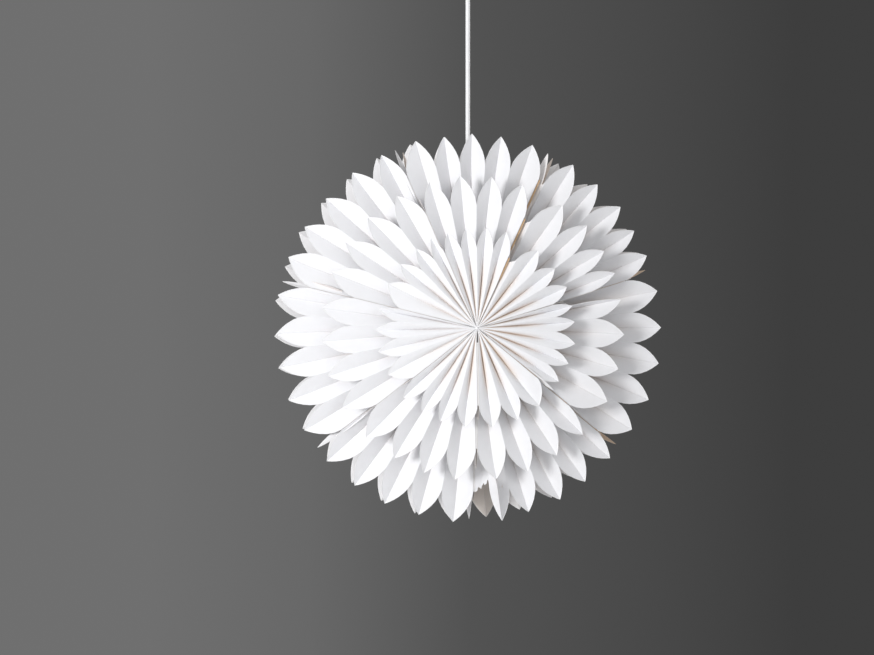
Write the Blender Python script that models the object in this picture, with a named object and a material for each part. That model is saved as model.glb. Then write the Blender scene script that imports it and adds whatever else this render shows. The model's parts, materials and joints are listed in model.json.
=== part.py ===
"""Pleated paper petal lantern on a pendant cord.

Seven pleated paper sections stand round a front-to-back axis (Y) through the lantern's centre. Each section carries three
tiers of pointed petals on the front and three on the back, and is glued to a flat card rib on each side. The two ribs at the
bottom are the free ends, which are joined with a pair of hook-and-loop dots. A bar under the two top ribs hangs the paper on
the lampholder. +Z is up, -Y is the front, metres. The origin is the middle of the ceiling rose's flat top face.
"""

import math

import bmesh
import bpy

MM = 0.001

# ---- driving dimensions, in millimetres ----
CENTRE_DROP = 560.0  # from the ceiling down to the lantern's centre
CARD = 0.6  # thickness of the petal paper
RIB = 0.6  # thickness of a rib
CLEAR = 0.35  # gap between pieces that touch
END_OFFSET = 0.75  # how far each end rib's inner face stands off the closing plane
RIB_START = 20.0  # nearest that a rib comes to the axis

# rib name: angle round the axis, anticlockwise from +X as seen from the front, in degrees
RIB_DEG = {
    "rib_top_right": 65.0,
    "rib_top_left": 113.0,
    "rib_left_upper": 166.0,
    "rib_left_lower": 218.0,
    "rib_end_left": 271.0,
    "rib_right_upper": 17.0,
    "rib_right_lower": -39.0,
    "rib_end_right": -89.0,
}
# section: (rib where it starts, rib where it ends), anticlockwise
SECTIONS = {
    "top": ("rib_top_right", "rib_top_left"),
    "left_upper": ("rib_top_left", "rib_left_upper"),
    "left_middle": ("rib_left_upper", "rib_left_lower"),
    "left_lower": ("rib_left_lower", "rib_end_left"),
    "right_upper": ("rib_right_upper", "rib_top_right"),
    "right_middle": ("rib_right_lower", "rib_right_upper"),
    "right_lower": ("rib_end_right", "rib_right_lower"),
}
# tier: petals in a section, start radius, notch radius, tip radius, ridge height at start and tip, pleat depth at start and tip
TIERS = {
    "inner": (4, 8.0, 118.0, 152.0, 135.0, 131.0, 20.0, 12.0),
    "middle": (4, 40.0, 185.0, 230.0, 104.0, 94.0, 27.0, 15.0),
    "outer": (5, 115.0, 250.0, 299.0, 60.0, 45.0, 26.0, 16.0),
}
# half of a rib's outline: (radius, height in front of the middle plane)
RIB_EDGE = [
    (20.0, 131.0),
    (118.0, 128.0),
    (140.0, 123.0),
    (112.0, 102.0),
    (185.0, 94.0),
    (214.0, 88.0),
    (182.0, 58.0),
    (250.0, 47.0),
    (286.0, 33.0),
    (256.0, 7.0),
]
HOLLOW_R = 118.0  # radius of the hollow round the lamp
HOLLOW_H = 60.0  # half of its depth, near the axis
BAR_TOP = 97.7  # the hanging bar's top face above the centre
BAR = (110.0, 28.0, 3.0)
BULB_R = 30.0
CORD_R = 3.4


def clear_scene():
    for o in list(bpy.data.objects):
        bpy.data.objects.remove(o, do_unlink=True)


def material(name, colour, rough, metal=0.0):
    m = bpy.data.materials.get(name) or bpy.data.materials.new(name)
    m.use_nodes = True
    b = m.node_tree.nodes["Principled BSDF"]
    b.inputs["Base Color"].default_value = (*colour, 1.0)
    b.inputs["Roughness"].default_value = rough
    b.inputs["Metallic"].default_value = metal
    return m


def add(name, bm, mat, smooth=None):
    """The bmesh, in millimetres about the lantern's centre, as an object in metres under the ceiling."""
    for v in bm.verts:
        v.co = (v.co.x * MM, v.co.y * MM, (v.co.z - CENTRE_DROP) * MM)
    bmesh.ops.recalc_face_normals(bm, faces=bm.faces)
    if bm.calc_volume(signed=True) < 0:
        bmesh.ops.reverse_faces(bm, faces=bm.faces)
    mesh = bpy.data.meshes.new(name)
    bm.to_mesh(mesh)
    bm.free()
    mesh.materials.append(mat)
    o = bpy.data.objects.new(name, mesh)
    bpy.context.scene.collection.objects.link(o)
    if smooth:
        mesh.shade_smooth()
        mesh.set_sharp_from_angle(angle=math.radians(smooth))
    return o


def lerp(a, b, t):
    return a + (b - a) * t


def place(radius, degrees, height, side):
    """A point at a radius and angle round the axis, that far in front of the middle plane (side 1) or behind it (-1)."""
    a = math.radians(degrees)
    return (radius * math.cos(a), -side * height, radius * math.sin(a))


def margin(rib, radius):
    """The angle that a section keeps from a rib's plane, in degrees."""
    off = (END_OFFSET + RIB if "end" in rib else RIB / 2) + CLEAR
    return math.degrees(math.asin(off / radius))


def petal_sheet(section, tier, side):
    """One pleated sheet: valleys that run out to the petal tips, with ridges to the notches between them."""
    first, last = SECTIONS[section]
    n, r_in, r_notch, r_tip, h_in, h_tip, p_in, p_tip = TIERS[tier]

    def point(column, radius, share=None):
        """Column 2i is a ridge and 2i+1 a valley; share moves a valley point towards the next ridge, which stands higher."""
        t = (radius - r_in) / (r_tip - r_in)
        ridge, depth = lerp(h_in, h_tip, t), lerp(p_in, p_tip, t)
        a, b = (
            RIB_DEG[first] + margin(first, radius),
            RIB_DEG[last] - margin(last, radius),
        )
        low = column % 2 if share is None else 1 - abs(share)
        at = column if share is None else column + share
        return place(radius, lerp(a, b, at / (2 * n)), ridge - depth * low, side)

    bm = bmesh.new()
    top, sheet = {}, []

    def vert(key, co):
        if key not in top:
            top[key] = bm.verts.new(co)
        return top[key]

    r_edge = lerp(r_notch, r_tip, 0.5)
    for i in range(n):
        c = 2 * i + 1
        valley = [
            vert((c, k), point(c, r)) for k, r in enumerate((r_in, r_notch, r_tip))
        ]
        for way in (-1, 1):
            ridge = [
                vert((c + way, k), point(c + way, r))
                for k, r in enumerate((r_in, r_notch))
            ]
            edge = vert((c, way, "edge"), point(c, r_edge, 0.74 * way))
            for face in (
                (valley[0], ridge[0], ridge[1]),
                (valley[0], ridge[1], valley[1]),
                (valley[1], ridge[1], edge),
                (valley[1], edge, valley[2]),
            ):
                sheet.append(face if way * side > 0 else face[::-1])
    under = {
        v: bm.verts.new((v.co.x, v.co.y + side * CARD, v.co.z)) for v in top.values()
    }
    edges = {}
    for face in sheet:
        bm.faces.new(face)
        bm.faces.new([under[v] for v in reversed(face)])
        for a, b in zip(face, face[1:] + face[:1]):
            edges[(a, b)] = True
    for a, b in edges:
        if (b, a) not in edges:
            bm.faces.new((b, a, under[a], under[b]))
    return bm


def rib_outline(name):
    front = list(RIB_EDGE)
    back = [(r, -h) for r, h in reversed(RIB_EDGE)]
    hollow = HOLLOW_R
    if "top" in name:  # the two top ribs come down onto the hanging bar
        hollow = (BAR_TOP + 0.5) / math.sin(math.radians(RIB_DEG[name]))
    return (
        front
        + back
        + [
            (RIB_START, -HOLLOW_H),
            (hollow - 18.0, -HOLLOW_H),
            (hollow, -HOLLOW_H + 18.0),
            (hollow, HOLLOW_H - 18.0),
            (hollow - 18.0, HOLLOW_H),
            (RIB_START, HOLLOW_H),
        ]
    )


def rib_span(name):
    """How far a rib's two faces stand off its plane, anticlockwise."""
    if name == "rib_end_left":
        return -END_OFFSET - RIB, -END_OFFSET
    if name == "rib_end_right":
        return END_OFFSET, END_OFFSET + RIB
    return -RIB / 2, RIB / 2


def off_plane(radius, degrees, height, off):
    a = math.radians(degrees)
    return (
        radius * math.cos(a) - off * math.sin(a),
        -height,
        radius * math.sin(a) + off * math.cos(a),
    )


def rib(name):
    bm = bmesh.new()
    low, high = rib_span(name)
    rings = [
        [
            bm.verts.new(off_plane(r, RIB_DEG[name], h, off))
            for r, h in rib_outline(name)
        ]
        for off in (low, high)
    ]
    bm.faces.new(rings[0])
    bm.faces.new(rings[1][::-1])
    for i in range(len(rings[0])):
        j = (i + 1) % len(rings[0])
        bm.faces.new((rings[0][i], rings[1][i], rings[1][j], rings[0][j]))
    bm.normal_update()
    bmesh.ops.triangulate(bm, faces=bm.faces)
    return bm


def dot(degrees, low, high, radius, r_at, height, sides=20):
    """A thin round dot that lies on a rib's plane."""
    bm = bmesh.new()
    rings = []
    for off in (low, high):
        ring = []
        for k in range(sides):
            a = 2 * math.pi * k / sides
            ring.append(
                bm.verts.new(
                    off_plane(
                        r_at + radius * math.cos(a),
                        degrees,
                        height + radius * math.sin(a),
                        off,
                    )
                )
            )
        rings.append(ring)
    bm.faces.new(rings[0])
    bm.faces.new(rings[1][::-1])
    for k in range(sides):
        j = (k + 1) % sides
        bm.faces.new((rings[0][k], rings[1][k], rings[1][j], rings[0][j]))
    return bm


def turned(profile, sides=28):
    """A solid turned about Z from a closed outline of (radius, height)."""
    bm = bmesh.new()
    columns = []
    for k in range(sides):
        a = 2 * math.pi * k / sides
        columns.append(
            [
                None if r == 0 else bm.verts.new((r * math.cos(a), r * math.sin(a), z))
                for r, z in profile
            ]
        )
    axis = [bm.verts.new((0, 0, z)) if r == 0 else None for r, z in profile]
    for k in range(sides):
        one, two = columns[k], columns[(k + 1) % sides]
        for i in range(len(profile)):
            j = (i + 1) % len(profile)
            corners = []
            for v in (
                one[i] or axis[i],
                two[i] or axis[i],
                two[j] or axis[j],
                one[j] or axis[j],
            ):
                if v not in corners:
                    corners.append(v)
            if len(corners) > 2:
                bm.faces.new(corners)
    return bm


def hanging_bar():
    """A flat bar with round ends and a round hole for the lampholder's neck."""
    bm = bmesh.new()
    long, wide, thick = BAR
    sides, hole = 32, 14.6
    loops = []
    for z in (BAR_TOP - thick, BAR_TOP):
        inner, outer = [], []
        for k in range(sides):
            a = 2 * math.pi * (k + 0.5) / sides
            c, s = math.cos(a), math.sin(a)
            inner.append(bm.verts.new((hole * c, hole * s, z)))
            reach = min(
                long / 2 / max(abs(c), 1e-6), wide / 2 / max(abs(s), 1e-6)
            )
            widen = 3.5 if abs(c) < 0.75 else 0.0  # an eye round the hole
            outer.append(
                bm.verts.new((reach * c, reach * s + math.copysign(widen, s), z))
            )
        loops.append((inner, outer))
    (i0, o0), (i1, o1) = loops
    for k in range(sides):
        j = (k + 1) % sides
        bm.faces.new((i0[k], i0[j], o0[j], o0[k]))
        bm.faces.new((i1[k], o1[k], o1[j], i1[j]))
        bm.faces.new((o0[k], o0[j], o1[j], o1[k]))
        bm.faces.new((i0[k], i1[k], i1[j], i0[j]))
    return bm


def bulb_profile():
    points = [(0.0, -BULB_R)]
    for k in range(1, 9):
        a = math.radians(-90 + k * 15)
        points.append((BULB_R * math.cos(a), BULB_R * math.sin(a)))
    points += [(21.5, 30.0), (16.0, 40.0), (13.4, 48.0), (0.0, 48.0)]
    return points


def cord(name, low, high, mat):
    curve = bpy.data.curves.new(name, "CURVE")
    curve.dimensions = "3D"
    curve.bevel_depth = CORD_R * MM
    curve.bevel_resolution = 2
    curve.use_fill_caps = True
    count = 14
    line = curve.splines.new("POLY")
    line.points.add(count - 1)
    for k in range(count):
        line.points[k].co = (0, 0, (lerp(low, high, k / (count - 1)) - CENTRE_DROP) * MM, 1)
    curve.materials.append(mat)
    o = bpy.data.objects.new(name, curve)
    bpy.context.scene.collection.objects.link(o)


def main():
    clear_scene()
    paper = material("petal_paper", (0.86, 0.86, 0.87), 0.85)
    card = material("rib_card", (0.80, 0.78, 0.74), 0.85)
    plastic = material("white_plastic", (0.85, 0.85, 0.84), 0.35)
    sheath = material("cord_sheath", (0.88, 0.88, 0.89), 0.5)
    wire = material("bar_steel", (0.72, 0.72, 0.72), 0.35, 1.0)
    cap = material("cap_metal", (0.75, 0.74, 0.70), 0.3, 1.0)
    glass = material("bulb_glass", (0.93, 0.93, 0.92), 0.25)
    hook = material("hook_and_loop", (0.82, 0.82, 0.82), 0.9)

    for section in SECTIONS:
        for side, word in ((1, "front"), (-1, "back")):
            for tier in TIERS:
                add(f"{section}_{word}_{tier}_petals", petal_sheet(section, tier, side), paper)
    for name in RIB_DEG:
        add(name, rib(name), card)
    add("closing_dot_left", dot(271.0, -END_OFFSET + CLEAR - 0.2, -0.1, 9.0, 200.0, 0.0), hook)
    add("closing_dot_right", dot(271.0, 0.1, END_OFFSET - CLEAR + 0.2, 9.0, 200.0, 0.0), hook)

    add("hanging_bar", hanging_bar(), wire, 30)
    add("holder_body", turned([(13.9, 50.0), (20.0, 50.0), (20.0, 78.0), (21.0, 80.0), (21.0, 94.4), (14.2, 94.4), (14.2, 98.0), (0.0, 98.0), (0.0, 79.0), (13.9, 79.0)]), plastic, 30)
    add("holder_cap", turned([(0.0, 98.3), (21.0, 98.3), (21.0, 106.0), (19.0, 113.0), (13.5, 119.0), (7.0, 122.0), (0.0, 122.0)]), plastic, 30)
    add("cord_grip", turned([(0.0, 122.3), (6.6, 122.3), (6.6, 127.0), (4.6, 135.0), (0.0, 135.0)], 20), plastic, 30)
    cord("cord", 135.3, CENTRE_DROP - 42.3, sheath)
    add("ceiling_rose", turned([(0.0, CENTRE_DROP), (45.0, CENTRE_DROP), (45.0, CENTRE_DROP - 7.0), (41.0, CENTRE_DROP - 16.0), (28.0, CENTRE_DROP - 29.0), (12.0, CENTRE_DROP - 37.0), (7.0, CENTRE_DROP - 42.0), (0.0, CENTRE_DROP - 42.0)], 36), plastic, 30)
    add("bulb_cap", turned([(0.0, 48.3), (13.4, 48.3), (13.4, 70.0), (9.0, 74.0), (4.0, 76.0), (0.0, 76.0)], 24), cap, 30)
    add("bulb_glass", turned(bulb_profile(), 28), glass, 40)


main()
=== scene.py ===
"""Looks of the pleated paper petal lantern: fine pleated sheets, card ribs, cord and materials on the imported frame."""

import json
import math
import random

import bmesh
import bpy
import numpy as np
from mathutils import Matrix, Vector

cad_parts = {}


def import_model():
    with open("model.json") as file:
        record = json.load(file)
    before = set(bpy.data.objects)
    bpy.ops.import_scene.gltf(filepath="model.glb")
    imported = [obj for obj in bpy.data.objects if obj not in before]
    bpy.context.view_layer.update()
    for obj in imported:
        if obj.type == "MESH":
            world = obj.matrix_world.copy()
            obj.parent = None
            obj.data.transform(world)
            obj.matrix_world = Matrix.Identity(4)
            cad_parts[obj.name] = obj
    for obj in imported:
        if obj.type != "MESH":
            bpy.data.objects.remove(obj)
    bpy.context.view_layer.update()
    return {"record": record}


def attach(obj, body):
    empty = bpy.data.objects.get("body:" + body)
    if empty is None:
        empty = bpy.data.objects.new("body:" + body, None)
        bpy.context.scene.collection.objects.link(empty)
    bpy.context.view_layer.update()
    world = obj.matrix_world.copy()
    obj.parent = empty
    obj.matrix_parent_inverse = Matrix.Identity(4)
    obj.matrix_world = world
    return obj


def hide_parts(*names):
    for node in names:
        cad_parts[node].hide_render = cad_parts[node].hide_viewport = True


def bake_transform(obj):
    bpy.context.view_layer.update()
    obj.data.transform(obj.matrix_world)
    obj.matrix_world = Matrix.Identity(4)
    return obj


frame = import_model()

MM = 0.001
CENTRE_Z = -0.560  # the lantern's centre under the ceiling, as in the CAD model
CENTRE = Vector((0.0, 0.0, CENTRE_Z))


# ---------------------------------------------------------------- camera
def aim(obj, at):
    obj.rotation_euler = (Vector(at) - obj.location).to_track_quat("-Z", "Y").to_euler()


VIEW_DEG = 6.0  # the camera stands this far to the lantern's left of its axis
VIEW_FAR = 4.0
cam = bpy.data.cameras.new("camera")
cam.sensor_width = 36.0
cam.lens = 106.6
cam.shift_x = -0.0352
cam.shift_y = 0.0006
camera = bpy.data.objects.new("camera", cam)
bpy.context.scene.collection.objects.link(camera)
v = math.radians(VIEW_DEG)
camera.location = CENTRE + Vector((-VIEW_FAR * math.sin(v), -VIEW_FAR * math.cos(v), 0))
aim(camera, CENTRE)
bpy.context.scene.camera = camera


# ---------------------------------------------------------------- node helpers
class Nodes:
    """Builds a material's nodes with short calls."""

    def __init__(self, name):
        self.mat = bpy.data.materials.new(name)
        self.mat.use_nodes = True
        self.tree = self.mat.node_tree
        self.shader = self.tree.nodes["Principled BSDF"]

    def add(self, kind, **values):
        node = self.tree.nodes.new(kind)
        for key, value in values.items():
            if hasattr(node, key):
                setattr(node, key, value)
            else:
                node.inputs[key.replace("_", " ")].default_value = value
        return node

    def link(self, a, b):
        self.tree.links.new(a, b)

    def set(self, **values):
        for key, value in values.items():
            self.shader.inputs[key.replace("_", " ")].default_value = value

    def mix(self, factor, a, b, blend="MIX"):
        node = self.tree.nodes.new("ShaderNodeMix")
        node.data_type = "RGBA"
        node.blend_type = blend
        for socket, value in ((node.inputs[0], factor), (node.inputs[6], a), (node.inputs[7], b)):
            if hasattr(value, "is_output"):
                self.link(value, socket)
            elif isinstance(value, tuple):
                socket.default_value = (*value, 1.0)[:4]
            else:
                socket.default_value = value
        return node.outputs[2]

    def math(self, op, a, b=0.0, clamp=False):
        node = self.tree.nodes.new("ShaderNodeMath")
        node.operation = op
        node.use_clamp = clamp
        for socket, value in ((node.inputs[0], a), (node.inputs[1], b)):
            if hasattr(value, "is_output"):
                self.link(value, socket)
            else:
                socket.default_value = value
        return node.outputs[0]

    def ramp(self, factor, stops):
        node = self.tree.nodes.new("ShaderNodeValToRGB")
        node.color_ramp.elements[0].position, node.color_ramp.elements[0].color = stops[0][0], (*stops[0][1], 1)
        node.color_ramp.elements[1].position, node.color_ramp.elements[1].color = stops[-1][0], (*stops[-1][1], 1)
        for at, colour in stops[1:-1]:
            node.color_ramp.elements.new(at).color = (*colour, 1)
        self.link(factor, node.inputs[0])
        return node.outputs[0]

    def noise(self, scale, detail=2.0, rough=0.5, stretch=None):
        where = self.tree.nodes.new("ShaderNodeTexCoord").outputs["Object"]
        if stretch:
            mapping = self.tree.nodes.new("ShaderNodeMapping")
            mapping.inputs["Scale"].default_value = stretch
            self.link(where, mapping.inputs[0])
            where = mapping.outputs[0]
        node = self.tree.nodes.new("ShaderNodeTexNoise")
        node.inputs["Scale"].default_value = scale
        node.inputs["Detail"].default_value = detail
        node.inputs["Roughness"].default_value = rough
        self.link(where, node.inputs["Vector"])
        return node.outputs[0]

    def bump(self, height, strength, distance):
        node = self.tree.nodes.new("ShaderNodeBump")
        node.inputs["Strength"].default_value = strength
        node.inputs["Distance"].default_value = distance
        self.link(height, node.inputs["Height"])
        self.link(node.outputs[0], self.shader.inputs["Normal"])


def grey(x):
    return (x, x, x)


# ---------------------------------------------------------------- materials
def paper_material():
    """White pleated paper: faint fibres and clouding, a painted highlight on the cut edges, painted brownish shade on
    the unlit inner side and deep in the folds, and a painted grey shade line along the creases.
    """
    m = Nodes("petal_paper_look")
    tint = m.add("ShaderNodeAttribute", attribute_name="tint")
    parts = m.add("ShaderNodeSeparateColor")
    m.link(tint.outputs["Color"], parts.inputs[0])
    # the tint attribute carries painted light: red is painted brownish shade in the folds and at the roots, green a
    # painted highlight on the cut edges, blue painted shade on the unlit inner side, alpha a painted grey shade line
    # along the creases
    painted_brown_shade, edge, inner = parts.outputs[0], parts.outputs[1], parts.outputs[2]
    cloud = m.noise(38.0, 3.0, 0.55)
    fibre = m.noise(900.0, 4.0, 0.65, (1.0, 1.0, 0.35))
    speck = m.noise(2600.0, 2.0, 0.6)
    colour = m.ramp(cloud, [(0.30, (0.882, 0.883, 0.904)), (0.70, (0.908, 0.910, 0.934))])
    colour = m.mix(m.math("MULTIPLY", fibre, 0.08), colour, (0.80, 0.80, 0.81))
    # painted shade on the inner side, along the creases and in the folds, then a painted highlight on the cut edges
    colour = m.mix(m.math("MULTIPLY", inner, 0.60), colour, (0.66, 0.56, 0.46))
    colour = m.mix(m.math("MULTIPLY", tint.outputs["Alpha"], 0.26), colour, (0.56, 0.55, 0.55))
    colour = m.mix(painted_brown_shade, colour, (0.64, 0.39, 0.17))
    colour = m.mix(m.math("MULTIPLY", edge, 0.95), colour, (0.985, 0.985, 0.99))
    m.link(colour, m.shader.inputs["Base Color"])
    rough = m.math("ADD", m.math("MULTIPLY", fibre, 0.14), 0.66)
    m.link(rough, m.shader.inputs["Roughness"])
    m.set(Specular_IOR_Level=0.28)
    m.bump(m.math("ADD", m.math("MULTIPLY", fibre, 0.7), m.math("MULTIPLY", speck, 0.3)), 0.16, 0.0006)
    return m.mat


def plastic_material(name, colour, rough=0.34):
    m = Nodes(name)
    wear = m.noise(60.0, 3.0)
    skin = m.noise(1500.0, 2.0)
    m.link(m.ramp(wear, [(0.3, tuple(c * 0.95 for c in colour)), (0.7, colour)]), m.shader.inputs["Base Color"])
    m.link(m.math("ADD", m.math("MULTIPLY", wear, 0.10), rough - 0.05), m.shader.inputs["Roughness"])
    m.bump(skin, 0.03, 0.0002)
    return m.mat


def sheath_material():
    m = Nodes("cord_sheath_look")
    skin = m.noise(700.0, 3.0, 0.6, (1.0, 1.0, 0.08))
    m.link(m.ramp(skin, [(0.35, (0.87, 0.87, 0.88)), (0.65, (0.93, 0.93, 0.94))]), m.shader.inputs["Base Color"])
    m.link(m.math("ADD", m.math("MULTIPLY", skin, 0.12), 0.38), m.shader.inputs["Roughness"])
    m.bump(skin, 0.04, 0.0002)
    return m.mat


def metal_material(name, colour, rough):
    m = Nodes(name)
    grain = m.noise(420.0, 3.0, 0.6, (0.08, 1.0, 1.0))
    m.link(m.ramp(grain, [(0.3, tuple(c * 0.86 for c in colour)), (0.7, colour)]), m.shader.inputs["Base Color"])
    m.link(m.math("ADD", m.math("MULTIPLY", grain, 0.22), rough - 0.08), m.shader.inputs["Roughness"])
    m.set(Metallic=1.0)
    m.bump(grain, 0.12, 0.0003)
    return m.mat


def opal_material():
    m = Nodes("bulb_glass_look")
    cloud = m.noise(25.0, 2.0)
    m.link(m.ramp(cloud, [(0.3, (0.88, 0.88, 0.87)), (0.7, (0.93, 0.93, 0.925))]), m.shader.inputs["Base Color"])
    m.set(Roughness=0.22, Coat_Weight=0.4, Coat_Roughness=0.08)
    m.bump(cloud, 0.03, 0.0005)
    return m.mat


def hook_material():
    m = Nodes("hook_and_loop_look")
    loops = m.noise(2200.0, 4.0, 0.7)
    m.link(m.ramp(loops, [(0.3, (0.62, 0.62, 0.62)), (0.7, (0.86, 0.86, 0.86))]), m.shader.inputs["Base Color"])
    m.set(Roughness=0.92)
    m.bump(loops, 0.7, 0.0010)
    return m.mat


PAPER = paper_material()
PLASTIC = plastic_material("white_plastic_look", (0.86, 0.86, 0.85))
SHEATH = sheath_material()


# ---------------------------------------------------------------- turned pieces
def turned_piece(node, name, body, look, sides=96, steps=6):
    """A turned CAD piece drawn again as a finer curve through the same profile, on the same axis."""
    world_of = bpy.data.objects[node].matrix_world
    points = [world_of @ v.co for v in bpy.data.objects[node].data.vertices]
    cx = (max(p.x for p in points) + min(p.x for p in points)) / 2
    cy = (max(p.y for p in points) + min(p.y for p in points)) / 2
    widest = {}
    for p in points:
        z = round(p.z, 5)
        widest[z] = max(widest.get(z, 0.0), math.hypot(p.x - cx, p.y - cy))
    rings = [(widest[z], z) for z in sorted(widest)]
    ends = [rings[0]] + rings + [rings[-1]]
    profile = []
    for k in range(1, len(ends) - 2):
        a, b, c, d = ends[k - 1 : k + 3]
        for j in range(steps):
            t = j / steps
            w = (-t + 2 * t * t - t**3, 2 - 5 * t * t + 3 * t**3, t + 4 * t * t - 3 * t**3, t**3 - t * t)
            profile.append(tuple(0.5 * (w[0] * a[i] + w[1] * b[i] + w[2] * c[i] + w[3] * d[i]) for i in (0, 1)))
    profile.append(rings[-1])
    widths = [min(max(r, 0.0003), max(r for r, _ in rings)) for r, _ in profile]
    co, faces = [], []
    for (_, z), r in zip(profile, widths):
        for k in range(sides):
            turn = 2 * math.pi * k / sides
            co.append((cx + r * math.cos(turn), cy + r * math.sin(turn), min(max(z, rings[0][1]), rings[-1][1])))
    for i in range(len(profile) - 1):
        for k in range(sides):
            n = (k + 1) % sides
            faces.append((i * sides + k, i * sides + n, (i + 1) * sides + n, (i + 1) * sides + k))
    top = (len(profile) - 1) * sides
    faces.append(tuple(range(sides - 1, -1, -1)))
    faces.append(tuple(range(top, top + sides)))
    mesh = bpy.data.meshes.new(name)
    mesh.from_pydata(co, [], faces)
    mesh.update()
    mesh.shade_smooth()
    mesh.set_sharp_from_angle(angle=math.radians(40))
    mesh.materials.append(look)
    o = bpy.data.objects.new(name, mesh)
    bpy.context.scene.collection.objects.link(o)
    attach(o, body)
    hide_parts(node)
    return o


# ---------------------------------------------------------------- cord, first
def cord_piece():
    """The taut pendant cord, from the grip up into the ceiling rose, on the same line as its CAD solid."""
    low, high = CENTRE_Z + 0.1353, -0.0423
    curve = bpy.data.curves.new("pendant_cord", "CURVE")
    curve.dimensions = "3D"
    curve.bevel_depth = 0.0034
    curve.bevel_resolution = 6
    curve.use_fill_caps = True
    count = 24
    line = curve.splines.new("POLY")
    line.points.add(count - 1)
    for k in range(count):
        line.points[k].co = (0.0, 0.0, low + (high - low) * k / (count - 1), 1.0)
    line.use_smooth = True
    curve.materials.append(SHEATH)
    o = bpy.data.objects.new("pendant_cord", curve)
    bpy.context.scene.collection.objects.link(o)
    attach(o, "lamp")
    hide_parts("cord")
    turned_piece("ceiling_rose", "rose_shell", "lamp", PLASTIC)
    return o


cord_piece()
turned_piece("bulb_glass", "bulb_shell", "bulb", opal_material())


# ---------------------------------------------------------------- the lantern's rule
# section: (rib angle where it starts, where it ends), anticlockwise from +X as seen from the front
SPAN = {
    "top": (65.0, 113.0),
    "left_upper": (113.0, 166.0),
    "left_middle": (166.0, 218.0),
    "left_lower": (218.0, 271.0),
    "right_upper": (17.0, 65.0),
    "right_middle": (-39.0, 17.0),
    "right_lower": (-89.0, -39.0),
}
# section: the two bodies at its two ends (start, end); a section with one body on both ends rides on it
ENDS = {
    "top": ("shade", "shade"),
    "left_upper": ("shade", "left_upper"),
    "left_middle": ("left_upper", "left_middle"),
    "left_lower": ("left_middle", "left_end"),
    "right_upper": ("right_upper", "shade"),
    "right_middle": ("right_middle", "right_upper"),
    "right_lower": ("right_end", "right_middle"),
}
# how far the paper's edge keeps from the rib at each seam, in millimetres, near the middle and further out,
# where the glue holds it less or more
SEAM_GAP = {
    65: (0.7, 2.0),
    113: (0.6, 0.6),
    166: (0.5, 0.5),
    218: (0.5, 0.5),
    271: (1.5, 1.5),
    17: (0.5, 0.7),
    -39: (0.6, 1.0),
    -89: (1.5, 1.5),
}
# painted shade: how brownish the unlit inner side of each section's paper is painted, front and back
INNER_SIDE_SHADE = {"top": 0.15, "right_upper": 0.3, "right_middle": 0.25, "right_lower": 0.25}
# petal tips: angle of each, anticlockwise within the section
TIPS = {
    "outer": {
        "top": [70.9, 80.4, 89.5, 97.8, 106.6],
        "left_upper": [116.9, 127.5, 138.2, 148.7, 159.2],
        "left_middle": [170.3, 181.4, 191.8, 201.9, 211.8],
        "left_lower": [222.9, 233.6, 244.0, 254.6, 265.4],
        "right_upper": [21.9, 30.2, 39.1, 48.6, 58.0],
        "right_middle": [-32.3, -21.7, -10.7, 0.1, 11.4],
        "right_lower": [-81.4, -72.4, -62.5, -52.6, -42.8],
    },
    "middle": {
        "top": [70.9, 82.9, 95.0, 107.2],
        "left_upper": [120.0, 133.6, 146.4, 158.9],
        "left_middle": [172.4, 185.1, 198.3, 211.2],
        "left_lower": [225.5, 238.4, 251.3, 263.4],
        "right_upper": [20.9, 30.5, 42.3, 54.4],
        "right_middle": [-29.2, -15.8, -2.2, 11.2],
        "right_lower": [-82.0, -69.5, -56.5, -43.8],
    },
    "inner": {
        "top": [71.7, 83.8, 95.6, 107.1],
        "left_upper": [116.2, 127.4, 140.2, 153.6],
        "left_middle": [169.2, 181.2, 193.6, 207.7],
        "left_lower": [223.5, 237.1, 249.3, 263.4],
        "right_upper": [23.9, 37.0, 52.0],
        "right_middle": [-33.4, -21.0, -9.2, 3.5, 12.9],
        "right_lower": [-80.9, -65.5, -51.1],
    },
}
# tier: start radius, notch radius, tip radius, ridge height at start and tip, crown of the ridge line,
# pleat depth at start and tip, bow of a petal's free edge
TIERS = {
    "inner": (1.6, 120.0, 150.0, 135.0, 128.5, 1.5, 15.0, 7.5, 0.62),
    "middle": (36.0, 186.0, 231.5, 107.0, 92.0, 2.0, 29.0, 8.0, 0.74),
    "outer": (110.0, 251.0, 297.3, 66.0, 41.5, 3.0, 29.0, 9.0, 0.74),
}
# how far each outer petal of the back is turned against the front's, in degrees
BACK_TURN = {
    "top": [-1.5, -1.6, -1.6, -1.5, 0.0],
    "left_upper": [0.9, 1.0, 1.1, 1.8, 2.4],
    "left_middle": [1.6, 0.7, 0.0, 0.2, 0.0],
    "left_lower": [0.2, 0.0, 0.2, 0.0, 0.2],
    "right_upper": [1.0, 1.0, 1.1, 1.4, 2.8],
    "right_middle": [0.3, -0.3, 0.2, 0.4, 0.5],
    "right_lower": [-2.3, -0.9, -0.3, 0.0, 0.0],
}
# sections whose last or first half panel drops towards the seam instead of meeting it on a ridge:
# (section, tier): (its ridge's angle, whether it is at the section's end, how much deeper its notch is cut)
HALF_PANEL = {
    ("right_upper", "outer"): (63.4, True, 0.0),
    ("right_upper", "middle"): (62.5, True, 0.0),
    ("right_upper", "inner"): (60.4, True, 0.0),
    ("right_middle", "middle"): (13.4, True, 35.0),
    ("right_lower", "outer"): (-83.7, False, 0.0),
}
CARD = 0.5  # paper thickness


def rng(*key):
    return random.Random("/".join(str(k) for k in key))


def lerp(a, b, t):
    return a + (b - a) * t


def spot(radius, degrees, height, side):
    a = math.radians(degrees)
    return (radius * math.cos(a) * MM, -side * height * MM, radius * math.sin(a) * MM + CENTRE_Z)


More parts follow.
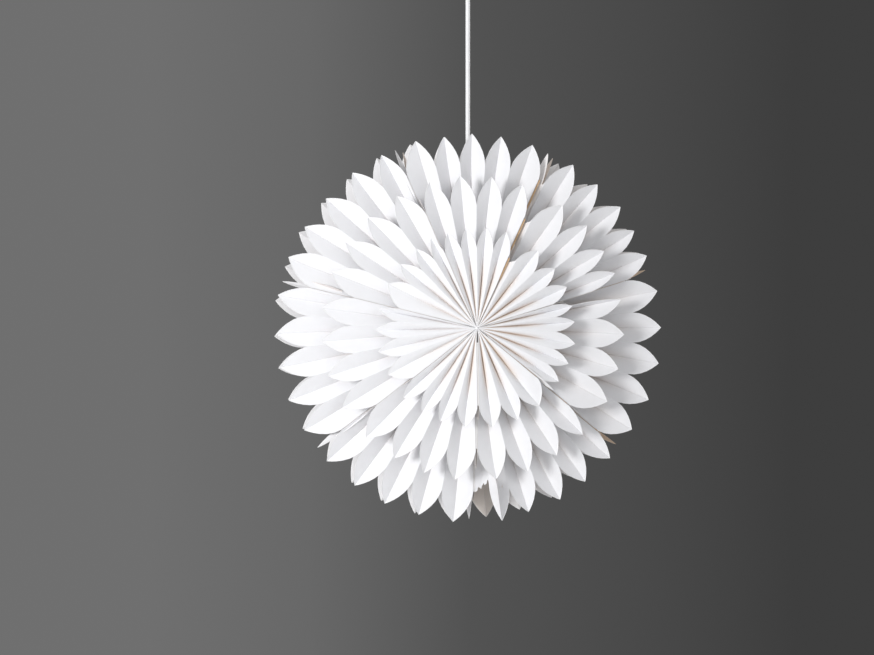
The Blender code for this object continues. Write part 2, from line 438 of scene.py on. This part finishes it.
def edge_radius(s, r_notch, r_tip, swell):
    """A petal's free edge: s is 0 at the tip's fold and 1 at the notch; the edge bows out between them."""
    u = ((1 + swell) - math.sqrt((1 + swell) ** 2 - 4 * swell * s)) / (2 * swell)
    return r_tip - (r_tip - r_notch) * u


def closed_sheet(name, top, tint_top, tint_under, thickness):
    """A closed thin mesh from a grid of points (rows, columns, 3): its inner side, its outer side and the rim between."""
    rows, cols = top.shape[:2]
    du = np.gradient(top, axis=1)
    dv = np.gradient(top, axis=0)
    normal = np.cross(du, dv)
    normal /= np.maximum(np.linalg.norm(normal, axis=2, keepdims=True), 1e-9)
    half = (thickness * MM / 2)[..., None]
    co = np.concatenate([(top + normal * half).reshape(-1, 3), (top - normal * half).reshape(-1, 3)])
    n = rows * cols
    index = np.arange(n).reshape(rows, cols)
    a, b, c, d = index[:-1, :-1], index[:-1, 1:], index[1:, 1:], index[1:, :-1]
    quads = np.stack([a, b, c, d], axis=-1).reshape(-1, 4)
    loop = np.concatenate([index[0, :-1], index[:-1, -1], index[-1, :0:-1], index[:0:-1, 0]])
    nxt = np.roll(loop, -1)
    rim = np.stack([nxt, loop, loop + n, nxt + n], axis=-1)
    faces = np.concatenate([quads, quads[:, ::-1] + n, rim])
    mesh = bpy.data.meshes.new(name)
    mesh.from_pydata(co.tolist(), [], faces.tolist())
    mesh.update()
    tint = mesh.attributes.new("tint", "FLOAT_COLOR", "POINT")
    values = np.concatenate([tint_under.reshape(-1, 4), tint_top.reshape(-1, 4)]).astype(np.float32)
    tint.data.foreach_set("color", values.ravel())
    mesh.shade_smooth()
    mesh.set_sharp_from_angle(angle=math.radians(24))
    o = bpy.data.objects.new(name, mesh)
    bpy.context.scene.collection.objects.link(o)
    mesh.materials.append(PAPER)
    return o


def ridge_height(tier, r):
    r_in, _, r_tip, h_in, h_tip, crown = TIERS[tier][:6]
    q = (r - r_in) / (r_tip - r_in)
    return lerp(h_in, h_tip, q) + crown * 4 * q * (1 - q)


def petal_tier(section, word, tier):
    """One section's row of petals: each petal is a valley that runs to its tip, between two ridges that end at its notches."""
    side = 1 if word == "front" else -1
    r_in, r_notch, r_tip, h_in, h_tip, crown, deep_in, deep_tip, bow = TIERS[tier]
    first, last = SPAN[section]
    pick = rng(section, word, tier)
    tips = list(TIPS[tier][section])
    if side < 0:  # the back's petals don't line up exactly with the front's
        turn = BACK_TURN[section] if tier == "outer" else [pick.uniform(-0.7, 0.7) for _ in tips]
        tips = [t + d for t, d in zip(tips, turn)]
    half_panel = HALF_PANEL.get((section, tier)) if side > 0 else None
    cuts = [first] + [(a + b) / 2 + pick.uniform(-0.25, 0.25) for a, b in zip(tips, tips[1:])] + [last]
    if half_panel:
        cuts[-1 if half_panel[1] else 0] = half_panel[0]
    fan = [0.0, 0.045, 0.16, 0.34, 0.54, 0.74, 0.90, 1.0]  # from a valley to a ridge, with a narrow strip for the crease
    nominal = math.radians((last - first) / len(tips) / 2)
    columns = []  # (angle, ridge share, tip radius, bow, lift at the tip, depth share, lean, cut off, notch)
    if half_panel and not half_panel[1]:
        for k in range(30):
            s = 0.7 + 0.3 * abs(1 - k / 15)
            columns.append((lerp(first, cuts[0], k / 30), s, 0, 0, 0, 0.5, 0, True, r_notch))
    for i, tip in enumerate(tips):
        a, b = cuts[i], cuts[i + 1]
        half = math.radians((b - a) / 2)
        share = min(1.25, max(0.7, nominal / half))
        reach = r_tip + pick.uniform(-1.8, 1.8)
        lift = pick.uniform(-1.5, 1.5)
        swell = bow + pick.uniform(-0.05, 0.05)
        lean = pick.uniform(-0.35, 0.35)
        notch = r_notch - (half_panel[2] if half_panel and i == len(tips) - 1 else 0.0)
        for s in fan[:0:-1]:
            columns.append((lerp(tip, a, s), s, reach, swell, lift, share, lean, False, r_notch))
        for s in fan if i == len(tips) - 1 else fan[:-1]:
            columns.append((lerp(tip, b, s), s, reach, swell, lift, share, lean, False, notch))
    if half_panel and half_panel[1]:
        for k in range(1, 7):
            columns.append((lerp(cuts[-1], last, k / 6), 1 - 0.85 * k / 6, 0, 0, 0, 0.8, 0, True, notch))
    rows = 18
    grid = np.zeros((rows, len(columns), 3))
    tint_top = np.zeros((rows, len(columns), 4))
    thick = np.full((rows, len(columns)), CARD)
    gap_a, gap_b = SEAM_GAP[round(first)], SEAM_GAP[round(last)]
    for c, (angle, s, reach, swell, lift, share, lean, cut, notch) in enumerate(columns):
        if cut and half_panel[1]:
            edge = notch - 3.0 - 9.0 * (1 - s)
        elif cut:  # trimmed off by hand, in a wavy line
            u = c / 30
            edge = r_notch - 2.0 - 15.0 * u + 2.4 * math.sin(19 * u) + 1.3 * math.sin(47 * u + 1.0)
        else:
            edge = edge_radius(s, notch, reach, swell)
        turned = side > 0 and (section, tier) == ("right_lower", "outer") and not cut and angle < cuts[1]
        place = (angle - first) / (last - first)
        for j in range(rows):
            t = min(1.0, j / (rows - 3)) ** 0.92  # the last two rows are the cut edge's slight burr
            r = lerp(r_in, edge - 1.35, t)
            if j > rows - 3:
                r = edge - (1.2 if j == rows - 2 else 0.0)
            q = min(1.0, (r - r_in) / (r_tip - r_in))
            depth = lerp(deep_in, deep_tip, q**0.9) * share
            out = 0.0 if cut else max(0.0, (r - r_notch) / (reach - r_notch))
            if tier == "inner":
                depth *= min(1.0, (r / 68.0) ** 0.9)
                flat = 0.6 * max(0.0, -math.cos(math.radians(angle))) ** 1.5  # the left pleats lie flatter at the middle
                depth *= 1 - flat * max(0.0, 1 - r / 110.0)
            full = 0.10 + 0.85 * max(0.0, 1 - r / 130.0) ** 0.5 if tier == "inner" else 0.15 + 0.20 * (1 - q) ** 2
            if turned:  # this petal's fold has sprung the other way near its tip
                depth *= lerp(1.0, -1.3, min(1.0, max(0.0, (r - 200.0) / 45.0)))
            drop = (1 - full) * (1 - s) + full * (1 - s) ** 4
            height = ridge_height(tier, r) - depth * drop + lift * out * out + (0.5 if j == rows - 1 else 0.0)
            wide = min(1.0, max(0.0, (r - 70.0) / 35.0))
            ga = min(lerp(*gap_a, wide), 0.09 * r) / r
            gb = min(lerp(*gap_b, wide), 0.09 * r) / r
            a = lerp(first + math.degrees(ga), last - math.degrees(gb), place)
            a += lean * out * out
            grid[j, c] = spot(r, a, height, side)
            # painted brownish shade deep in the valleys near the middle, less where the pleats lie flat
            if tier == "inner":
                painted_brown_shade = (1 - s) ** 3 * max(0.0, 1 - r / 105.0) ** 0.7 * min(1.0, r / 12.0)
                painted_brown_shade *= 1 - flat * 1.3
            else:
                # painted brownish shade at the petal roots, stronger on the right flank, which faces away from the key
                # light
                right_flank_shade = max(0.0, math.cos(math.radians(angle + 8)))
                painted_brown_shade = (1 - s) ** 3 * (1 - q) ** 3 * 0.6 + 0.5 * right_flank_shade * (1 - s) ** 2.2 * (1 - q) ** 1.6
            # more painted brownish shade on the cut half panel at the open top right seam
            if cut and section == "right_upper":
                painted_brown_shade = max(painted_brown_shade, 0.4 * (1 - s) ** 2)
            # a painted grey shade line along each valley crease, and a painted highlight on the last row, the cut edge
            crease_shade_line = 1.0 if s == 0.0 and not cut else 0.0
            tint_top[j, c] = (painted_brown_shade, 1.0 if j == rows - 1 else 0.0, 0.0, crease_shade_line)
            thick[j, c] = min(CARD, 0.12 + 0.05 * r)
    # the undersides get the painted shade of the unlit inner side
    tint_under = tint_top.copy()
    tint_under[..., 2] = INNER_SIDE_SHADE.get(section, 0.12)
    if section == "right_lower":  # painted shade: the underside of the petal beside the seam, its unlit side, is painted darker and brownish
        tint_under[:, [angle < cuts[1] for angle, *_ in columns], 2] = 0.95
    if side < 0:
        grid = grid[:, ::-1]
        tint_top, tint_under, thick = tint_top[:, ::-1], tint_under[:, ::-1], thick[:, ::-1]
    o = closed_sheet(f"{section}_{word}_{tier}_paper", grid, tint_top, tint_under, thick)
    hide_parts(f"{section}_{word}_{tier}_petals")
    start, end = ENDS[section]
    if start == end:
        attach(o, start)
    else:
        fold(o)
    return o


def fold(o):
    """Bakes the sheet's placement into its mesh and reads its points into an array; the sheet is put on no body."""
    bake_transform(o)
    co = np.empty(len(o.data.vertices) * 3)
    o.data.vertices.foreach_get("co", co)
    co = co.reshape(-1, 3)


for section in SPAN:
    for word in ("front", "back"):
        for tier in TIERS:
            petal_tier(section, word, tier)

# ---------------------------------------------------------------- the card walls at the seams
RIBS = {  # rib: (angle, body)
    "rib_top_right": (65.0, "shade"),
    "rib_top_left": (113.0, "shade"),
    "rib_left_upper": (166.0, "left_upper"),
    "rib_left_lower": (218.0, "left_middle"),
    "rib_end_left": (271.0, "left_end"),
    "rib_right_upper": (17.0, "right_upper"),
    "rib_right_lower": (-39.0, "right_middle"),
    "rib_end_right": (-89.0, "right_end"),
}


def lobe(r0, h0, r1, h1, r2, h2, count=8):
    """A petal-shaped lobe in a rib's outline, from its root over its tip to the next root, with bowed edges."""
    points = []
    for (ra, ha), (rb, hb), bow in (((r0, h0), (r1, h1), 1), ((r1, h1), (r2, h2), 1)):
        dr, dh = rb - ra, hb - ha
        for k in range(count):
            t = k / count
            b = 0.09 * 4 * t * (1 - t) * bow
            points.append((ra + dr * t - dh * b, ha + dh * t + dr * b))
    return points


def rib_piece(name, degrees, body):
    """The two glued end panels of a seam: one card wall whose three lobes a side end like the petals beside it."""
    pick = rng(name)
    sink = 2.0 if name == "rib_top_right" else -0.15  # the top right seam has come open
    half = []
    for tier, radii, tip in (
        ("inner", (20.0, 50.0, 80.0, 110.0), (139.0, 119.0)),
        ("middle", (112.0, 135.0, 160.0, 178.0), (213.0, 82.0)),
        ("outer", (186.0, 205.0, 225.0, 243.0), (262.0, 31.0)),
    ):
        half += [(r, ridge_height(tier, r) - sink) for r in radii]
        at, root = half[-1], {"inner": (113.0, 101.0), "middle": (187.0, 60.5), "outer": (246.0, 8.0)}[tier]
        half += lobe(*at, *tip, *root)[1:]
        if tier == "outer":
            half.append(root)
    hollow = 118.0
    if "top" in name:
        hollow = 98.2 / math.sin(math.radians(degrees))
    loop = half + [(r, -h) for r, h in reversed(half)]
    loop += [(20.0, -60.0), (hollow - 18, -60.0), (hollow, -42.0), (hollow, 42.0), (hollow - 18, 60.0), (20.0, 60.0)]
    bm = bmesh.new()
    low, high = (-0.2, 0.2)
    if name == "rib_end_left":
        low, high = -1.15, -0.75
    if name == "rib_end_right":
        low, high = 0.75, 1.15
    a = math.radians(degrees)
    rings = []
    for off in (low, high):
        ring = [bm.verts.new((r, h, off)) for r, h in loop]
        rings.append(ring)
    bm.faces.new(rings[0][::-1])
    bm.faces.new(rings[1])
    for i in range(len(loop)):
        j = (i + 1) % len(loop)
        bm.faces.new((rings[0][i], rings[0][j], rings[1][j], rings[1][i]))
    bm.normal_update()
    bmesh.ops.recalc_face_normals(bm, faces=bm.faces)
    bmesh.ops.triangulate(bm, faces=bm.faces)
    lean = 0.0 if "end" in name else 0.5
    mesh = bpy.data.meshes.new(name + "_card")
    bm.to_mesh(mesh)
    bm.free()
    tint = mesh.attributes.new("tint", "FLOAT_COLOR", "POINT")
    co = np.empty(len(mesh.vertices) * 3)
    mesh.vertices.foreach_get("co", co)
    co = co.reshape(-1, 3)
    r, h, off = co[:, 0], co[:, 1], co[:, 2]
    bend = lean * np.clip((r - 200.0) / 93.0, 0, 1) ** 2
    away = off + bend
    x = r * math.cos(a) - away * math.sin(a)
    z = r * math.sin(a) + away * math.cos(a)
    mesh.vertices.foreach_set("co", np.stack([x * MM, -h * MM, z * MM + CENTRE_Z], axis=1).astype(np.float32).ravel())
    # painted shade on both faces of the card: a little brownish towards the middle, plus the unlit inner side's painted
    # shade
    painted_brown_shade = np.clip(1.25 - r / 400.0, 0, 1) * 0.1
    tint.data.foreach_set("color", np.stack([painted_brown_shade, 0 * r, 0.4 + 0 * r, 0 * r], axis=1).astype(np.float32).ravel())
    mesh.update()
    mesh.materials.append(PAPER)
    o = bpy.data.objects.new(name + "_card", mesh)
    bpy.context.scene.collection.objects.link(o)
    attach(o, body)
    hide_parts(name)
    return o


def hem(name, degrees, body, low, high, top, foot, first, hem_shade, edge):
    """The narrow turned edge of a wall, which closes the seam's visible line: its span across the wall, how far under
    the ridge line it starts and ends, where it starts, how much painted brownish shade it gets and how much painted
    brightening."""
    line = []
    for tier, radii in (("inner", (22.0, 50.0, 80.0, 116.0)), ("middle", (122.0, 140.0, 160.0, 182.0)), ("outer", (192.0, 210.0, 230.0, 250.0))):
        line.append([(r, ridge_height(tier, r)) for r in radii if r > first])
    bm = bmesh.new()
    a = math.radians(degrees)

    def at(r, h, off, side):
        return (
            (r * math.cos(a) - off * math.sin(a)) * MM,
            -side * h * MM,
            (r * math.sin(a) + off * math.cos(a)) * MM + CENTRE_Z,
        )

    for side in (1, -1):
        for run in line:
            rings = []
            for r, h in run:
                corners = ((low, top), (high, top), (high, foot), (low, foot))
                rings.append([bm.verts.new(at(r, h - d, off, side)) for off, d in corners])
            for one, two in zip(rings, rings[1:]):
                for i in range(4):
                    j = (i + 1) % 4
                    bm.faces.new((one[i], one[j], two[j], two[i]))
            bm.faces.new(rings[0])
            bm.faces.new(rings[-1][::-1])
    bmesh.ops.recalc_face_normals(bm, faces=bm.faces)
    mesh = bpy.data.meshes.new(name + "_hem")
    bm.to_mesh(mesh)
    bm.free()
    tint = mesh.attributes.new("tint", "FLOAT_COLOR", "POINT")
    tint.data.foreach_set("color", np.tile(np.array([hem_shade, edge, 0.0, 0.0], np.float32), len(mesh.vertices)))
    mesh.materials.append(PAPER)
    o = bpy.data.objects.new(name + "_hem", mesh)
    bpy.context.scene.collection.objects.link(o)
    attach(o, body)


# rib: (span across the wall, low and high, how far under the ridge its top and foot stand, radius where it starts,
# painted brownish shade, painted brightening)
HEMS = {
    "rib_end_left": (-0.73, -0.08, 0.1, 3.2, 0.0, 0.0, 0.6),
    "rib_end_right": (0.08, 0.73, 0.1, 3.2, 0.0, 0.0, 0.6),
    "rib_top_right": (-1.25, 1.25, 1.6, 4.6, 70.0, 0.85, 0.0),
    "rib_right_lower": (-0.45, 0.45, 0.9, 3.6, 40.0, 0.80, 0.0),
}
for name, (degrees, body) in RIBS.items():
    rib_piece(name, degrees, body)
    if name in HEMS:
        hem(name, degrees, body, *HEMS[name])

# narrow end panels that stand out at the seams: (rib, side, seam angle, tip angle, root radius, tip radius, height at
# the root and the tip, half width, how far one half stands above the other, painted brownish shade)
FLAPS = [
    ("rib_top_right", 1, 65.0, 65.7, 205.0, 295.0, 50.0, 27.0, 7.0, -5.0, 0.10),
    ("rib_top_right", 1, 64.2, 63.5, 215.0, 293.5, 40.0, 12.0, 4.0, -5.0, 0.45),
    ("rib_top_left", 1, 113.0, 112.9, 200.0, 295.0, 50.0, 29.0, 5.0, 6.0, 0.0),
    ("rib_top_left", 1, 112.0, 110.6, 215.0, 288.0, 34.0, 12.0, 4.0, 4.0, 0.45),
    ("rib_left_upper", 1, 166.0, 166.1, 215.0, 295.5, 49.0, 30.0, 4.6, 5.0, 0.0),
    ("rib_left_upper", 1, 164.8, 164.2, 205.0, 262.0, 52.0, 41.0, 4.0, -6.0, 0.2),
    ("rib_left_lower", 1, 218.0, 218.0, 200.0, 296.0, 49.0, 29.0, 5.6, 8.0, 0.0),
    ("rib_right_lower", 1, -39.0, -38.6, 96.0, 150.5, 129.6, 121.0, 2.8, 4.0, 0.0),
    ("rib_right_lower", -1, -39.0, -37.6, 215.0, 298.0, 46.0, 28.0, 4.8, 4.0, 0.65),
    ("rib_right_upper", -1, 17.0, 17.8, 215.0, 297.0, 46.0, 28.0, 4.4, 4.0, 0.65),
    ("rib_end_left", 1, 269.9, 269.8, 222.0, 293.5, 44.0, 24.0, 4.4, 4.0, 0.0),
]


def flap(number, rib, side, at, tip_at, r0, r1, h0, h1, wide, step, shade):
    """A narrow half petal beside a seam: two halves about its own fold, one standing above the other."""
    pick = rng(rib, number)
    rows, across = 18, 4
    grid = np.zeros((rows, 2 * across + 1, 3))
    tint = np.zeros((rows, 2 * across + 1, 4))
    curl = 7.0 if "end" in rib else 0.0
    for j in range(rows):
        t = j / (rows - 1)
        r = lerp(r0, r1, t)
        girth = wide * (4 * (1 - t) * (0.25 + t) / 1.5625) ** 0.8 if t < 1 else 0.0
        girth = max(girth, 0.12)
        mid = lerp(at, tip_at, t**1.5) + (math.degrees(1.6 * math.sin(7 * t) * t / r) if curl else 0.0)
        for c in range(2 * across + 1):
            u = c / across - 1
            a = mid + math.degrees(u * girth / r)
            h = lerp(h0, h1, t) + step * u * girth / wide + 2.0 * abs(u) * girth / wide
            h -= curl * max(0.0, t - 0.8) ** 1.2 * 4 * (1 + 0.5 * u)
            grid[j, c] = spot(r, a, h, side)
            # painted brownish shade fading towards the tip, a painted highlight on the side edges of the pale flaps,
            # and a little painted inner-side shade
            tint[j, c] = (shade * (1 - 0.3 * t), 0.3 if abs(u) == 1 and shade < 0.3 else 0.0, 0.1, 0.0)
    # painted shade on the unlit underside
    under = tint.copy()
    under[..., 2] = 1.0
    thick = np.full((rows, 2 * across + 1), 0.36)
    if side < 0:
        grid, tint, under = grid[:, ::-1], tint[:, ::-1], under[:, ::-1]
    o = closed_sheet(f"seam_flap_{number}", grid, tint, under, thick)
    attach(o, RIBS[rib][1])


for number, values in enumerate(FLAPS, 1):
    flap(number, *values)


def gather(side):
    """The stitched gather that closes the fold lines at the middle: a small crimped boss."""
    rings = [(0.0, 136.2), (0.9, 136.1), (1.8, 135.6), (2.9, 134.2)]
    folds = 28
    bm = bmesh.new()
    levels = []
    for r, h in rings[1:]:
        ring = []
        for k in range(2 * folds):
            low = 0.3 * (k % 2) * r / 2.9
            ring.append(bm.verts.new(spot(r * (1 - 0.05 * (k % 2)), 180.0 * k / folds, h - low, side)))
        levels.append(ring)
    top = bm.verts.new(spot(0.0, 0.0, rings[0][1], side))
    foot = bm.verts.new(spot(0.0, 0.0, 131.0, side))
    for k in range(2 * folds):
        j = (k + 1) % (2 * folds)
        bm.faces.new((top, levels[0][k], levels[0][j]))
        for low, high in zip(levels, levels[1:]):
            bm.faces.new((low[k], high[k], high[j], low[j]))
        bm.faces.new((levels[-1][j], levels[-1][k], foot))
    bmesh.ops.recalc_face_normals(bm, faces=bm.faces)
    mesh = bpy.data.meshes.new(f"gather_{'front' if side > 0 else 'back'}")
    bm.to_mesh(mesh)
    bm.free()
    # painted highlight: the whole boss is painted brighter than the paper
    tint = mesh.attributes.new("tint", "FLOAT_COLOR", "POINT")
    tint.data.foreach_set("color", np.tile(np.array([0.0, 0.5, 0.0, 0.0], np.float32), len(mesh.vertices)))
    mesh.materials.append(PAPER)
    o = bpy.data.objects.new(mesh.name, mesh)
    bpy.context.scene.collection.objects.link(o)
    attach(o, "shade")


gather(1)
gather(-1)

# ---------------------------------------------------------------- CAD pieces that keep their shape
LOOKS = {
    "white_plastic": PLASTIC,
    "bar_steel": metal_material("bar_steel_look", (0.74, 0.74, 0.75), 0.34),
    "cap_metal": metal_material("cap_metal_look", (0.78, 0.77, 0.74), 0.28),
    "hook_and_loop": hook_material(),
    "rib_card": PAPER,
}
for part in frame["record"]["subparts"]:
    o = bpy.data.objects.get(part["node"])
    look = LOOKS.get(part["material_slot"])
    if o and look:
        for slot in o.material_slots:
            slot.link = "DATA"
            slot.material = look


# ---------------------------------------------------------------- floor, light and world
def floor():
    """A pale round floor well under the lantern."""
    m = Nodes("floor_look")
    cloud = m.noise(6.0, 4.0)
    m.link(m.ramp(cloud, [(0.3, grey(0.62)), (0.7, grey(0.68))]), m.shader.inputs["Base Color"])
    m.set(Roughness=0.7)
    sides, radius, z = 96, 1.7, CENTRE_Z - 1.1
    co = [(radius * math.cos(2 * math.pi * k / sides), radius * math.sin(2 * math.pi * k / sides), z) for k in range(sides)]
    co += [(x, y, z - 0.02) for x, y, _ in co]
    faces = [tuple(range(sides)), tuple(range(2 * sides - 1, sides - 1, -1))]
    faces += [(k, k + sides, (k + 1) % sides + sides, (k + 1) % sides) for k in range(sides)]
    mesh = bpy.data.meshes.new("floor")
    mesh.from_pydata(co, [], faces)
    mesh.materials.append(m.mat)
    o = bpy.data.objects.new("floor", mesh)
    bpy.context.scene.collection.objects.link(o)


def area(name, where, at, size, power, colour=(1, 1, 1)):
    lamp = bpy.data.lights.new(name, "AREA")
    lamp.shape = "DISK"
    lamp.size = size
    lamp.energy = power
    lamp.color = colour
    o = bpy.data.objects.new(name, lamp)
    o.location = Vector(where)
    aim(o, at)
    bpy.context.scene.collection.objects.link(o)


def world():
    """Even white light from all round; the view itself meets a plain grey wall that darkens to the right."""
    w = bpy.data.worlds.new("studio")
    bpy.context.scene.world = w
    w.use_nodes = True
    tree = w.node_tree
    tree.nodes.clear()
    out = tree.nodes.new("ShaderNodeOutputWorld")
    light = tree.nodes.new("ShaderNodeBackground")
    light.inputs[0].default_value = (0.99, 0.99, 1.0, 1.0)
    light.inputs[1].default_value = 0.42
    wall = tree.nodes.new("ShaderNodeBackground")
    where = tree.nodes.new("ShaderNodeTexCoord")
    parts = tree.nodes.new("ShaderNodeSeparateXYZ")
    tree.links.new(where.outputs["Generated"], parts.inputs[0])
    ramp = tree.nodes.new("ShaderNodeValToRGB")
    ramp.color_ramp.elements[0].position, ramp.color_ramp.elements[0].color = 0.0, (0.160, 0.160, 0.160, 1)
    ramp.color_ramp.elements[1].position, ramp.color_ramp.elements[1].color = 1.0, (0.048, 0.048, 0.048, 1)
    ramp.color_ramp.elements.new(0.25).color = (0.138, 0.138, 0.138, 1)
    ramp.color_ramp.elements.new(0.50).color = (0.086, 0.086, 0.086, 1)
    ramp.color_ramp.elements.new(0.78).color = (0.066, 0.066, 0.066, 1)
    scale = tree.nodes.new("ShaderNodeMapRange")
    scale.inputs["From Min"].default_value = -0.018
    scale.inputs["From Max"].default_value = 0.227
    tree.links.new(parts.outputs[0], scale.inputs[0])
    tree.links.new(scale.outputs[0], ramp.inputs[0])
    tree.links.new(ramp.outputs[0], wall.inputs[0])
    path = tree.nodes.new("ShaderNodeLightPath")
    mix = tree.nodes.new("ShaderNodeMixShader")
    tree.links.new(path.outputs["Is Camera Ray"], mix.inputs[0])
    tree.links.new(light.outputs[0], mix.inputs[1])
    tree.links.new(wall.outputs[0], mix.inputs[2])
    tree.links.new(mix.outputs[0], out.inputs[0])


floor()
world()
area("key", CENTRE + Vector((-1.98, -2.30, 0.20)), CENTRE, 0.80, 56.0)
area("fill", CENTRE + Vector((0.2, -3.1, 0.5)), CENTRE, 2.2, 11.0)
area("back", CENTRE + Vector((2.60, 2.30, 0.50)), CENTRE, 1.5, 42.0)
bpy.context.scene.view_settings.view_transform = "Standard"
